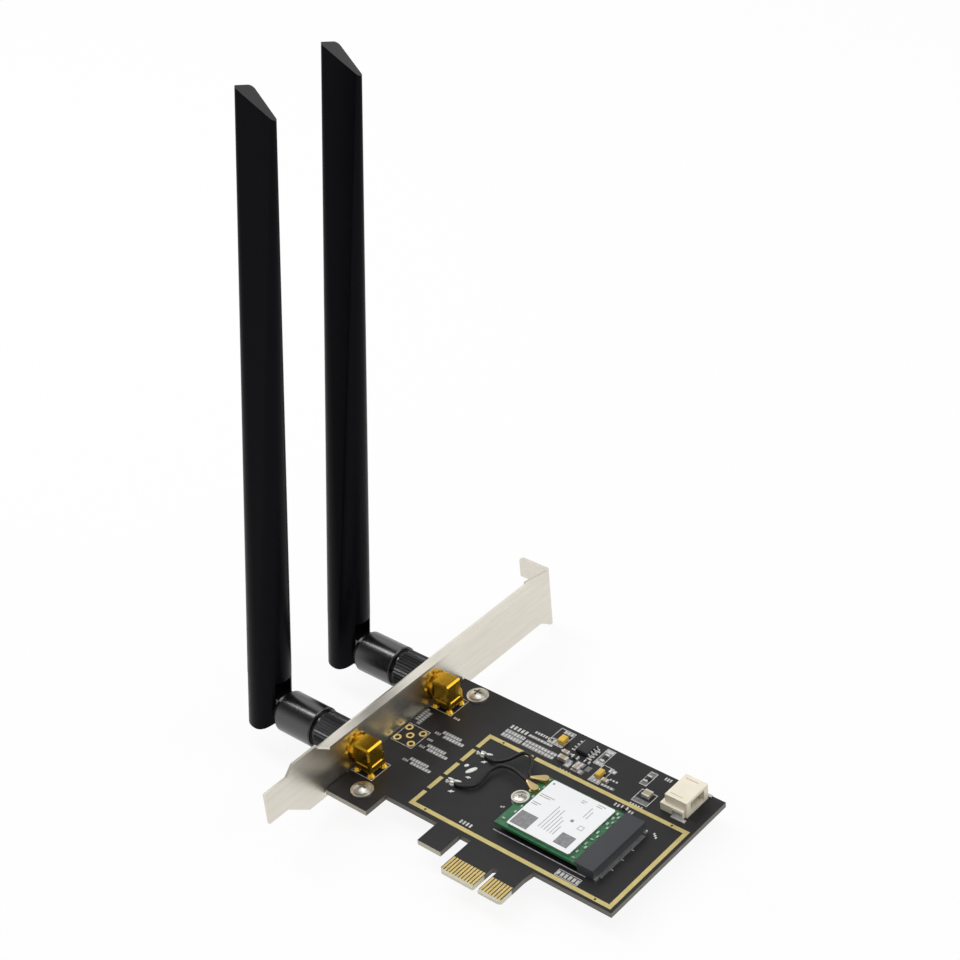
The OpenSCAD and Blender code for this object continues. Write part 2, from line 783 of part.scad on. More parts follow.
// Contact tails stand in a row behind the socket, with a solder tab at each end
module socket_contacts() color([0.80, 0.79, 0.76]) {
    x = socket_x + socket_len;
    first = module_y + (module_w - (socket_tail_n - 1) * socket_tail_pitch - socket_tail_w) / 2;
    for (i = [0 : socket_tail_n - 1])
        translate([x, first + i * socket_tail_pitch, 0])
            cube([socket_tail_len, socket_tail_w, socket_tail_h]);
    for (y = [module_y - socket_side, module_y + module_w + socket_side - socket_tab[1]])
        translate([x, y, 0]) cube(socket_tab);
}

module module_standoff() color([0.83, 0.80, 0.72]) {
    translate([module_x, module_screw_y, 0]) difference() {
        union() {
            cylinder(r = standoff_r, h = module_lift);
            translate([0, 0, -board_t]) cylinder(r = standoff_bore_r + 0.4, h = board_t);
        }
        translate([0, 0, -board_t - cut]) cylinder(r = standoff_bore_r, h = board_t + module_lift + 2 * cut);
    }
}

module module_screw() color([0.84, 0.82, 0.78]) {
    translate([module_x, module_screw_y, module_z]) {
        difference() {
            cylinder(r = module_head_r, h = module_rim_h);
            translate([0, 0, module_rim_h / 2]) cylinder(r = module_head_r - module_rim_w, h = module_rim_h);
        }
        pan_head(module_dome_r, module_head_h, 0.45);
        translate([0, 0, -module_t - module_lift]) cylinder(r = module_screw_r, h = module_t + module_lift);
    }
}

module module_board() color([0.13, 0.40, 0.24]) {
    translate([0, 0, module_lift]) linear_extrude(module_t) difference() {
        translate([module_x, module_y]) square([module_len, module_w]);
        translate([module_x, module_screw_y]) circle(module_notch_r);
    }
}

module shield_outline_2d(grow) {
    translate([shield_x - grow, module_y + shield_inset - grow])
        rounded_rect_2d([shield_len + 2 * grow, module_w - 2 * shield_inset + 2 * grow], shield_round);
}

module module_shield() color([0.80, 0.80, 0.79]) {
    difference() {
        translate([0, 0, module_z]) linear_extrude(shield_h) shield_outline_2d(0);
        translate([0, 0, module_z - cut]) linear_extrude(shield_h + cut - shield_t)
            shield_outline_2d(-shield_t);
    }
}

module module_label() color([0.93, 0.93, 0.94]) {
    translate([0, 0, module_z + shield_h]) linear_extrude(label_t) shield_outline_2d(-0.05);
}

module module_coax_sockets() color([0.86, 0.72, 0.40]) {
    for (y = coax_ys) translate([coax_x, y, module_z]) {
        translate([-coax_base[0] / 2, -coax_base[1] / 2, 0]) cube(coax_base);
        difference() {
            cylinder(r = coax_r, h = coax_h);
            translate([0, 0, coax_base[2]]) cylinder(r = coax_r - coax_wall, h = coax_h);
        }
        cylinder(r = coax_pin_r, h = coax_h - coax_wall);
    }
}

// A cap that snaps over the socket tapers into the crimp on its lead
module coax_plug(i) {
    difference() {
        hull() {
            translate([coax_x, coax_ys[i], plug_cap_z]) cylinder(r = plug_cap_r, h = plug_cap_h, $fn = 32);
            translate([crimp_x, crimp_ys[i], crimp_z]) sphere(crimp_r, $fn = 16);
        }
        translate([coax_x, coax_ys[i], plug_cap_z - cut])
            cylinder(r = coax_r + run_gap, h = cut + coax_h - plug_cap_lift);
        translate([coax_x, coax_ys[i], module_z])
            cylinder(r = plug_cap_r + 2 * coax_wall, h = coax_base[2] + run_gap);
    }
}

module coax_plug_high() color([0.86, 0.70, 0.36]) coax_plug(0);
module coax_plug_low() color([0.86, 0.70, 0.36]) coax_plug(1);

// A point on the smooth curve through four route points
function curve_point(a, b, c, d, t) = 0.5 * (2 * b + (c - a) * t + (2 * a - 5 * b + 4 * c - d) * t * t
    + (3 * b - a - 3 * c + d) * t * t * t);
function route_at(p, i) = p[max(0, min(len(p) - 1, i))];
function smooth_route(p) = [
    for (i = [0 : len(p) - 2], k = [0 : lead_steps - 1])
        curve_point(route_at(p, i - 1), p[i], p[i + 1], route_at(p, i + 2), k / lead_steps),
    p[len(p) - 1]
];
function unit(v) = v / norm(v);
function tangent(q, i) = unit(route_at(q, i + 1) - route_at(q, i - 1));
function side_of(t) = unit(cross(t, [0, 0, 1]));

// A tube is swept along a smooth route with a ring of points at each of its points
module lead_tube(route) {
    q = smooth_route(route);
    n = lead_sides;
    points = [
        for (i = [0 : len(q) - 1], k = [0 : n - 1])
            let (t = tangent(q, i), u = side_of(t), w = cross(u, t), a = 360 * k / n)
                q[i] + lead_r * (cos(a) * u + sin(a) * w)
    ];
    sides = [
        for (i = [0 : len(q) - 2], k = [0 : n - 1])
            [i * n + k, i * n + (k + 1) % n, (i + 1) * n + (k + 1) % n, (i + 1) * n + k]
    ];
    first = [for (k = [n - 1 : -1 : 0]) k];
    last = [for (k = [0 : n - 1]) (len(q) - 1) * n + k];
    polyhedron(points, concat([first], sides, [last]));
}

module lead_high() color([0.05, 0.05, 0.05]) lead_tube(lead_route_high);
module lead_low() color([0.05, 0.05, 0.05]) lead_tube(lead_route_low);

// Solder holds each lead's screen and core to the board
module lead_joints() color([0.80, 0.80, 0.78]) {
    for (route = [lead_route_high, lead_route_low]) translate([route[0][0], route[0][1], 0]) {
        difference() {
            translate([-0.6, 0, 0.2]) sphere(1.1);
            translate([-3, -3, -3]) cube([6, 6, 3]);
        }
        translate([-2.6, 0.1, 0]) cylinder(r1 = 0.6, r2 = 0.3, h = 0.5);
        translate([-2.6, -0.2, 0]) cube([2, 0.5, 0.3]);
    }
}

module header_housing() color([0.90, 0.87, 0.78]) {
    y1 = header_y + header_w;
    x1 = header_x + header_len;
    difference() {
        union() {
            box([header_x, x1], [header_y, y1], [0, header_h]);
            box([header_x - header_back, x1 - header_front],
                [header_y - header_ears[0], y1 + header_ears[1]], [0, header_base_h]);
        }
        box([header_x + header_wall, x1 + cut], [header_y + header_cheek, y1 - header_cheek],
            [header_floor, header_h - header_roof]);
        for (y = [header_y + header_wall, y1 - header_wall - groove_w])
            translate([header_x + groove_from, y, header_h - groove_w])
                cube([header_groove_len, groove_w, groove_w + cut]);
    }
}

// Pins stand in the mouth and their tails lie on the board behind the housing
module header_pins() color([0.82, 0.80, 0.76]) {
    middle = header_y + header_w / 2;
    for (i = [0 : header_pins_n - 1]) {
        y = middle + (i - (header_pins_n - 1) / 2) * header_pitch - pin_w / 2;
        box([header_x + header_wall, header_x + header_len - pin_short], [y, y + pin_w],
            [pin_z, pin_z + pin_w]);
        box([header_x - header_back - pin_tail, header_x - header_back], [y, y + pin_w], [0, tab_sheet]);
    }
}

module header_tabs() color([0.80, 0.80, 0.79]) {
    x = header_x + tab_from;
    for (side = [0, 1]) {
        edge = side == 0 ? header_y - header_ears[0] - tab_sheet : header_y + header_w + header_ears[1];
        pad_y = side == 0 ? edge - tab_pad_out[0] : edge;
        translate([x, edge, 0]) cube([tab_len, tab_sheet, tab_h]);
        translate([x, pad_y, 0]) cube([tab_pad_len, tab_sheet + tab_pad_out[side], tab_sheet]);
    }
}

module driver_chip() color([0.13, 0.13, 0.14]) {
    translate([chip_at[0], chip_at[1], chip_stand + chip_size[2] / 2]) chamfered_box(chip_size, 0.25);
}

// Gull-wing leads run from the chip's sides down to the board
module driver_chip_leads() color([0.80, 0.80, 0.80]) {
    knee = chip_span / 2 - 0.7;
    side_x = chip_size[0] / 2;
    mid = chip_stand + chip_size[2] / 2;
    for (turn = [0, 180], i = [-1.5 : 1.5])
        translate([chip_at[0], chip_at[1], 0]) rotate([0, 0, turn])
            along_y(i * chip_lead_pitch - chip_lead_w / 2, chip_lead_w) polygon([
                [side_x, mid], [side_x, mid + chip_lead_t], [knee, mid + chip_lead_t],
                [knee + chip_lead_t, chip_lead_t], [chip_span / 2, chip_lead_t], [chip_span / 2, 0],
                [knee, 0], [knee - chip_lead_t / 2, mid]
            ]);
}

module tantalum_capacitors() color([0.80, 0.62, 0.12]) {
    for (part = tantalum_parts)
        translate([part[0][0], part[0][1], copper_t + part[1][2] / 2]) chamfered_box(part[1], 0.2);
}

function long_axis(size) = size[0] > size[1] ? 0 : 1;
function end_len(size) = terminal_share * size[long_axis(size)];
function core_size(size) = [
    size[0] - (long_axis(size) == 0 ? 2 * end_len(size) : 0),
    size[1] - (long_axis(size) == 1 ? 2 * end_len(size) : 0),
    size[2]
];

module chip_cores(parts) {
    for (part = parts) {
        core = core_size(part[1]);
        translate([part[0][0] - core[0] / 2, part[0][1] - core[1] / 2, 0]) cube(core);
    }
}

module chip_resistors() color([0.12, 0.12, 0.13]) chip_cores(resistor_parts);
module chip_capacitors() color([0.66, 0.56, 0.42]) chip_cores(capacitor_parts);

// A metal cap covers each end of the small parts, and a tab lies under each tantalum end
module chip_terminals() color([0.83, 0.83, 0.82]) {
    for (part = concat(resistor_parts, capacitor_parts), end = [-1, 1]) {
        size = part[1];
        axis = long_axis(size);
        e = end_len(size);
        shift = end * (size[axis] - e) / 2;
        cap = [axis == 0 ? e : size[0], axis == 1 ? e : size[1], size[2]];
        translate([part[0][0] + (axis == 0 ? shift : 0) - cap[0] / 2,
                part[0][1] + (axis == 1 ? shift : 0) - cap[1] / 2, 0]) cube(cap);
    }
    for (part = tantalum_parts, end = [-1, 1])
        translate([part[0][0] - part[1][0] * 0.4, part[0][1] + end * (part[1][1] / 2 - 0.1) - 0.45, 0])
            cube([part[1][0] * 0.8, 0.9, copper_t]);
}

// Knurled nut: straight ridges outside, and a bore that steps in behind the plug's flange
module coupling_nut(i) {
    ridge = 0.35;
    bevel = 0.4;
    on_jack_axis(jack_ys[i]) difference() {
        union() {
            translate([0, 0, s_coupler + bevel]) linear_extrude(coupler_len - 2 * bevel)
                toothed_2d(coupler_r, ridge, knurl_count);
            translate([0, 0, s_coupler]) cylinder(r = coupler_r - 1.5 * ridge, h = coupler_len);
        }
        translate([0, 0, s_coupler - cut])
            cylinder(r = barrel_r + run_gap, h = s_plug_flange + run_gap - s_coupler + cut);
        translate([0, 0, s_coupler]) cylinder(r = plug_neck_r + run_gap, h = coupler_len + cut);
    }
}

module coupling_nut_low() color([0.10, 0.10, 0.11]) coupling_nut(0);
module coupling_nut_high() color([0.10, 0.10, 0.11]) coupling_nut(1);

// Plug: a skirt inside the jack, a flange that the nut pulls on and a neck that the elbow turns on
module plug_bodies() color([0.82, 0.64, 0.28]) {
    for (y = jack_ys) on_jack_axis(y) rotate_extrude() polygon([
        [plug_skirt_in, s_plug - plug_skirt_len], [plug_skirt_r, s_plug - plug_skirt_len],
        [plug_skirt_r, s_plug], [plug_flange_r, s_plug], [plug_flange_r, s_plug_flange],
        [plug_neck_r, s_plug_flange], [plug_neck_r, s_ring], [snap_ring_r, s_ring],
        [snap_ring_r, s_ring + snap_ring_t], [plug_skirt_in, s_ring + snap_ring_t]
    ]);
}

module plug_insulators() color([0.93, 0.92, 0.88]) {
    for (y = jack_ys) jack_tube(y, s_plug, s_ring + snap_ring_t, plug_skirt_in, pin_contact_r + 0.3);
}

module plug_contacts() color([0.86, 0.68, 0.32]) {
    for (y = jack_ys) {
        jack_tube(y, s_barrel - jack_bore_depth + insulator_len + 0.2, s_plug + 1, pin_contact_r + 0.3,
            pin_contact_r + run_gap);
        jack_tube(y, s_plug + 1, s_ring, pin_contact_r + 0.3);
    }
}

// Elbow: a round body that swivels on the plug's neck, with a tongue for the fold joint
module elbow(i) {
    antenna_frame(i) difference() {
        union() {
            rotate([0, -90, 0]) rotate_extrude() polygon([
                [0, s_elbow], [groove_r, s_elbow], [groove_r, s_elbow_body], [elbow_r - 0.3, s_elbow_body],
                [elbow_r, s_elbow_body + 0.3], [elbow_r, s_elbow_end - elbow_chamfer],
                [elbow_r - elbow_chamfer * 0.6, s_elbow_end], [0, s_elbow_end]
            ]);
            along_y(-fold_tongue_t / 2, fold_tongue_t) {
                translate([-s_pivot, 0]) circle(fold_tongue_h / 2);
                translate([-s_pivot, -fold_tongue_h / 2]) square([pivot_gap + 0.5, fold_tongue_h]);
            }
        }
        rotate([0, -90, 0]) translate([0, 0, s_elbow - cut])
            cylinder(r = plug_neck_r + run_gap, h = s_ring - s_elbow + cut);
        rotate([0, -90, 0]) translate([0, 0, s_ring - run_gap])
            cylinder(r = snap_ring_r + run_gap, h = snap_ring_t + 2 * run_gap);
        along_y(-fold_tongue_t, 2 * fold_tongue_t) translate([-s_pivot, 0]) circle(pin_r + run_gap);
    }
}

module elbow_low() color([0.10, 0.10, 0.11]) elbow(0);
module elbow_high() color([0.10, 0.10, 0.11]) elbow(1);

module hinge_pin(i) {
    antenna_frame(i) along_y(-pin_half, 2 * pin_half) translate([-s_pivot, 0]) circle(pin_r);
}

module hinge_pin_low() color([0.30, 0.30, 0.31]) hinge_pin(0);
module hinge_pin_high() color([0.30, 0.30, 0.31]) hinge_pin(1);

// The rod's round root, with cheeks rounded about the fold axis and squarer on the outer side
module rod_root() {
    corner = cheek_r - cheek_corner;
    intersection() {
        translate([0, 0, -cheek_r - cut]) cylinder(r = rod_r, h = cheek_r + cut + loft_z);
        along_y(-cheek_r, 2 * cheek_r) {
            circle(cheek_r);
            translate([-cheek_r, 0]) square([2 * cheek_r, loft_z]);
            translate([-cheek_r, -corner]) square([cheek_r, corner]);
            translate([-corner, -cheek_r]) square([corner, cheek_r]);
            translate([-corner, -corner]) circle(cheek_corner);
        }
    }
}

// The rod's outer surface blends from its round root to its wedge-shaped tip
module rod_loft() {
    hull() {
        translate([0, 0, loft_z - loft_slice]) cylinder(r = rod_r + loft_rim, h = loft_slice);
        for (v = [-tip_outer_v, tip_outer_v])
            translate([tip_outer_u, v, rod_len + rod_r]) cylinder(r = tip_outer_r, h = loft_slice, $fn = 32);
        translate([tip_inner_u, 0, rod_len + rod_r]) cylinder(r = tip_inner_r, h = loft_slice, $fn = 32);
    }
}

module rod_cavity() {
    hull() {
        translate([0, 0, cavity_z]) cylinder(r = rod_r - rod_wall, h = loft_slice, $fn = 32);
        for (v = [-cavity_tip_v, cavity_tip_v]) translate([tip_outer_u + tip_outer_r / 2, v, cavity_top])
            cylinder(r = cavity_tip_r, h = loft_slice, $fn = 16);
        translate([cavity_inner_u, 0, cavity_top]) cylinder(r = cavity_tip_r, h = loft_slice, $fn = 16);
    }
}

module rod(i) {
    antenna_frame(i) translate([-s_pivot, 0, 0]) difference() {
        union() {
            rod_root();
            difference() {
                rod_loft();
                translate([0, 0, rod_len]) rotate([-atan(tip_side_slope), atan(tip_slope), 0])
                    translate([-4 * rod_r, -4 * rod_r, 0]) cube(8 * rod_r);
            }
        }
        translate([-2 * rod_r, -fork_gap, -2 * rod_r])
            cube([4 * rod_r, 2 * fork_gap, 2 * rod_r + fork_depth]);
        rod_cavity();
        translate([0, 0, fork_depth - cut]) cylinder(r = feed_r, h = cavity_z - fork_depth + 2 * cut);
        along_y(-pin_half, 2 * pin_half) circle(pin_r);
    }
}

module rod_low() color([0.07, 0.07, 0.08]) rod(0);
module rod_high() color([0.07, 0.07, 0.08]) rod(1);

// The radiating strip stands on the floor of the rod's cavity
module radiator(i) {
    antenna_frame(i) translate([-s_pivot - radiator_w * 0.8, -radiator_t / 2, cavity_z])
        cube([radiator_w, radiator_t, radiator_len]);
}

module radiator_low() color([0.20, 0.45, 0.25]) radiator(0);
module radiator_high() color([0.20, 0.45, 0.25]) radiator(1);

board();
edge_contacts();
copper_frame();
ring_pads();
bracket();
bracket_tabs();
bracket_screws();
jack_low_body();
jack_high_body();
jack_insulators();
jack_contacts();
jack_washers();
jack_nuts();
socket_housing();
socket_contacts();
module_standoff();
module_screw();
module_board();
module_shield();
module_label();
module_coax_sockets();
coax_plug_high();
coax_plug_low();
lead_high();
lead_low();
lead_joints();
header_housing();
header_pins();
header_tabs();
driver_chip();
driver_chip_leads();
tantalum_capacitors();
chip_resistors();
chip_capacitors();
chip_terminals();
coupling_nut_low();
coupling_nut_high();
plug_bodies();
plug_insulators();
plug_contacts();
elbow_low();
elbow_high();
hinge_pin_low();
hinge_pin_high();
rod_low();
rod_high();
radiator_low();
radiator_high();
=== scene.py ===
"""Wireless network card: finishes, fine detail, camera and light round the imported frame."""
import json
import math

import bpy
from mathutils import Matrix, Vector


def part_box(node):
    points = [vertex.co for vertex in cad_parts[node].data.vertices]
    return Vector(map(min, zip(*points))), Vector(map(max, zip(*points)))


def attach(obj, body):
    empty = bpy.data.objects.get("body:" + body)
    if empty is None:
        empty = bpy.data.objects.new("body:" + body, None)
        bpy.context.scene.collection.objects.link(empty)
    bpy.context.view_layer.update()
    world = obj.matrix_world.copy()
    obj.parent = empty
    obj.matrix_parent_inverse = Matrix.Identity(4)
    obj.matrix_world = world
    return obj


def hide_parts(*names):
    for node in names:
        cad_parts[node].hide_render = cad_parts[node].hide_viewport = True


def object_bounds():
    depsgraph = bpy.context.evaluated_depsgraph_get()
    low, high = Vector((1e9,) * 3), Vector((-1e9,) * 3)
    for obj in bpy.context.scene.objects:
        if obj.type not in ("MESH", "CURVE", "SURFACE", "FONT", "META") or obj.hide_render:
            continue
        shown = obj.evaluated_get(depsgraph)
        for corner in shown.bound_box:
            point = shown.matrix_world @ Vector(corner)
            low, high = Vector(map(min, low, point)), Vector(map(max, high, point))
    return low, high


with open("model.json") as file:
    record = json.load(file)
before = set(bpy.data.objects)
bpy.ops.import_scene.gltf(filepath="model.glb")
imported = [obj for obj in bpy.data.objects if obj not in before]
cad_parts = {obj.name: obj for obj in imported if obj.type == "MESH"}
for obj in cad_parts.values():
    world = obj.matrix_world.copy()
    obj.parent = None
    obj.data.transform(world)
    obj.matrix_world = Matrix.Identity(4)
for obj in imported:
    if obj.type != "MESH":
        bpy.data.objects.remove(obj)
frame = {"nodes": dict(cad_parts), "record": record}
cad_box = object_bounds()

# The tables below are in millimetres. MM turns them into metres.
MM = 0.001
CARD = "card"
BOARD_TOP = 0.0
SEAT_DEPTH = 0.004 * MM  # how far small pieces reach into what carries them
PRINT_H = 0.02 * MM  # how far print stands above its surface
PRINT_STEP = 0.01 * MM  # how far bars of print lie above the grey fields


# Camera: it stands where the photograph was taken from
CAMERA_AT = Vector((276.675, -291.616, 381.893)) * MM
CAMERA_AZIMUTH = math.radians(43.21)
CAMERA_TILT = math.radians(56.63)
CAMERA_ROLL = math.radians(-5.367)
CAMERA_LENS = 79.37
CAMERA_SENSOR = 36
CAMERA_CLIP = (0.01, 20)


def make_camera():
    data = bpy.data.cameras.new("camera")
    data.lens = CAMERA_LENS
    data.sensor_width = CAMERA_SENSOR
    data.clip_start, data.clip_end = CAMERA_CLIP
    camera = bpy.data.objects.new("camera", data)
    turn = (
        Matrix.Rotation(CAMERA_AZIMUTH, 4, "Z")
        @ Matrix.Rotation(CAMERA_TILT, 4, "X")
        @ Matrix.Rotation(CAMERA_ROLL, 4, "Z")
    )
    camera.matrix_world = Matrix.Translation(CAMERA_AT) @ turn
    bpy.context.scene.collection.objects.link(camera)
    bpy.context.scene.camera = camera


# Node helpers
NOISE_LOW, NOISE_HIGH = 0.3, 0.7  # most of a noise texture's values lie between these
COLOUR_A, COLOUR_B, COLOUR_RESULT = 6, 7, 2  # a Mix node's colour sockets


def new_material(name):
    material = bpy.data.materials.new(name)
    material.use_nodes = True
    return material, material.node_tree.nodes, material.node_tree.links


def shader_of(nodes):
    return nodes["Principled BSDF"]


def coordinates(nodes, kind):
    return nodes.new("ShaderNodeTexCoord").outputs[kind]


def axis_of(nodes, links, vector, axis):
    split = nodes.new("ShaderNodeSeparateXYZ")
    links.new(vector, split.inputs["Vector"])
    return split.outputs[axis]


def noise(nodes, links, scale, detail=3.0, vector=None):
    texture = nodes.new("ShaderNodeTexNoise")
    texture.inputs["Scale"].default_value = scale
    texture.inputs["Detail"].default_value = detail
    if vector is None:
        vector = coordinates(nodes, "Object")
    links.new(vector, texture.inputs["Vector"])
    return texture.outputs["Fac"]


def remap(nodes, links, value, low, high, start=NOISE_LOW, end=NOISE_HIGH):
    node = nodes.new("ShaderNodeMapRange")
    node.inputs["From Min"].default_value = start
    node.inputs["From Max"].default_value = end
    node.inputs["To Min"].default_value = low
    node.inputs["To Max"].default_value = high
    links.new(value, node.inputs["Value"])
    return node.outputs["Result"]


def calculate(nodes, links, operation, *values):
    """A Math node. Each value is a number or another node's output."""
    node = nodes.new("ShaderNodeMath")
    node.operation = operation
    for socket, value in zip(node.inputs, values):
        if isinstance(value, float):
            socket.default_value = value
        else:
            links.new(value, socket)
    return node.outputs[0]


def mix_colours(nodes, links, factor, first, second):
    node = nodes.new("ShaderNodeMix")
    node.data_type = "RGBA"
    links.new(factor, node.inputs["Factor"])
    for place, colour in ((COLOUR_A, first), (COLOUR_B, second)):
        if isinstance(colour, tuple):
            node.inputs[place].default_value = (*colour, 1.0)
        else:
            links.new(colour, node.inputs[place])
    return node.outputs[COLOUR_RESULT]


def drifting(nodes, links, value, colour, darker, paler):
    """A colour that drifts between two shades of itself as value goes through a noise's range."""
    shades = [tuple(min(1.0, c * factor) for c in colour) for factor in (darker, paler)]
    return mix_colours(nodes, links, remap(nodes, links, value, 0.0, 1.0), *shades)


def add_bump(nodes, links, height, strength, depth):
    bump = nodes.new("ShaderNodeBump")
    bump.inputs["Strength"].default_value = strength
    bump.inputs["Distance"].default_value = depth
    links.new(height, bump.inputs["Height"])
    links.new(bump.outputs["Normal"], shader_of(nodes).inputs["Normal"])


GRAIN_DETAIL = 2.0
GRAIN_DEPTH = 0.00002
FINE_DEPTH = 0.00001
ROUGH_TO_TONE = 3  # the roughness drifts this many times finer than the colour


def finish_material(
    name,
    colour,
    rough=(0.4, 0.5),
    metallic=0.0,
    specular=0.5,
    tone=(60.0, 0.08),
    grain=(4000.0, 0.15, GRAIN_DEPTH),
    coat=None,
):
    """A surface whose colour and roughness drift, with a fine grain in its relief.

    rough is the lowest and highest roughness, tone the drift's scale and share, grain its
    scale, strength and depth, and coat the weight and roughness of a clear layer.
    """
    material, nodes, links = new_material(name)
    shader = shader_of(nodes)
    shader.inputs["Metallic"].default_value = metallic
    shader.inputs["Specular IOR Level"].default_value = specular
    tone_scale, share = tone
    shade = drifting(nodes, links, noise(nodes, links, tone_scale), colour, 1 - share, 1 + share)
    links.new(shade, shader.inputs["Base Color"])
    wear = noise(nodes, links, tone_scale * ROUGH_TO_TONE)
    links.new(remap(nodes, links, wear, *rough), shader.inputs["Roughness"])
    grain_scale, strength, depth = grain
    add_bump(nodes, links, noise(nodes, links, grain_scale, GRAIN_DETAIL), strength, depth)
    if coat:
        shader.inputs["Coat Weight"].default_value = coat[0]
        shader.inputs["Coat Roughness"].default_value = coat[1]
    return material


# Board: solder mask on its faces, and laminate on its cut edges, paler at the contact tongue
MASK_COLOUR = (0.017, 0.0165, 0.0175)
MASK_DRIFT = (90.0, 0.9, 1.12)  # scale, darkest and palest share
MASK_ROUGH = (0.40, 0.50)
MASK_ROUGH_SCALE = 200.0
MASK_SPECULAR = 0.32
MASK_GRAIN = (2500.0, 0.12)  # scale and strength
MASK_FACING = (0.85, 0.95)  # how far a surface faces up or down where the mask sets in
EDGE_GREY = (0.155, 0.145, 0.125)
EDGE_PALE = (0.76, 0.73, 0.58)
TONGUE_Y = -8.2 * MM
TONGUE_FADE = 0.4 * MM


def board_material():
    material, nodes, links = new_material("board_finish")
    shader = shader_of(nodes)
    facing = axis_of(nodes, links, coordinates(nodes, "Normal"), "Z")
    upright = calculate(nodes, links, "ABSOLUTE", facing)
    is_face = remap(nodes, links, upright, 0.0, 1.0, *MASK_FACING)
    along = axis_of(nodes, links, coordinates(nodes, "Object"), "Y")
    in_tongue = remap(nodes, links, along, 1.0, 0.0, TONGUE_Y - TONGUE_FADE, TONGUE_Y)
    edge = mix_colours(nodes, links, in_tongue, EDGE_GREY, EDGE_PALE)
    scale, darker, paler = MASK_DRIFT
    mask = drifting(nodes, links, noise(nodes, links, scale), MASK_COLOUR, darker, paler)
    links.new(mix_colours(nodes, links, is_face, edge, mask), shader.inputs["Base Color"])
    wear = noise(nodes, links, MASK_ROUGH_SCALE)
    links.new(remap(nodes, links, wear, *MASK_ROUGH), shader.inputs["Roughness"])
    shader.inputs["Specular IOR Level"].default_value = MASK_SPECULAR
    scale, strength = MASK_GRAIN
    add_bump(nodes, links, noise(nodes, links, scale, GRAIN_DETAIL), strength, GRAIN_DEPTH)
    return material


# Bracket: satin metal with a faint grain drawn out along the plate
STEEL_COLOUR = (0.73, 0.69, 0.61)
STEEL_DRIFT = (0.96, 1.04)
STEEL_ROUGH = (0.30, 0.37)
STEEL_ROUGH_SCALE = 120.0
STEEL_GRAIN = (900.0, 60.0, 900.0)  # scale along X, Y and Z
STEEL_GRAIN_DETAIL = 4.0
STEEL_GRAIN_STRENGTH = 0.06


def bracket_material():
    material, nodes, links = new_material("bracket_steel")
    shader = shader_of(nodes)
    shader.inputs["Metallic"].default_value = 1.0
    stretch = nodes.new("ShaderNodeMapping")
    stretch.inputs["Scale"].default_value = STEEL_GRAIN
    links.new(coordinates(nodes, "Object"), stretch.inputs["Vector"])
    streaks = noise(nodes, links, 1.0, STEEL_GRAIN_DETAIL, stretch.outputs["Vector"])
    shade = drifting(nodes, links, streaks, STEEL_COLOUR, *STEEL_DRIFT)
    links.new(shade, shader.inputs["Base Color"])
    wear = noise(nodes, links, STEEL_ROUGH_SCALE)
    links.new(remap(nodes, links, wear, *STEEL_ROUGH), shader.inputs["Roughness"])
    add_bump(nodes, links, streaks, STEEL_GRAIN_STRENGTH, GRAIN_DEPTH)
    return material


# Specular level along the rod and on its slanted tip, and how far up each faces at rest
TIP_SHINE = (0.06, 0.55)
TIP_FACING = (0.25, 0.6)


def rod_material():
    """Satin black plastic, glossier on the slanted tip than along the rod."""
    material = finish_material(
        "antenna_black", (0.003, 0.003, 0.0046), (0.28, 0.36), tone=(120.0, 0.15),
        grain=(2200.0, 0.12, GRAIN_DEPTH),
    )
    nodes = material.node_tree.nodes
    links = material.node_tree.links
    facing = axis_of(nodes, links, coordinates(nodes, "Normal"), "Z")
    shine = remap(nodes, links, facing, *TIP_SHINE, *TIP_FACING)
    links.new(shine, shader_of(nodes).inputs["Specular IOR Level"])
    return material


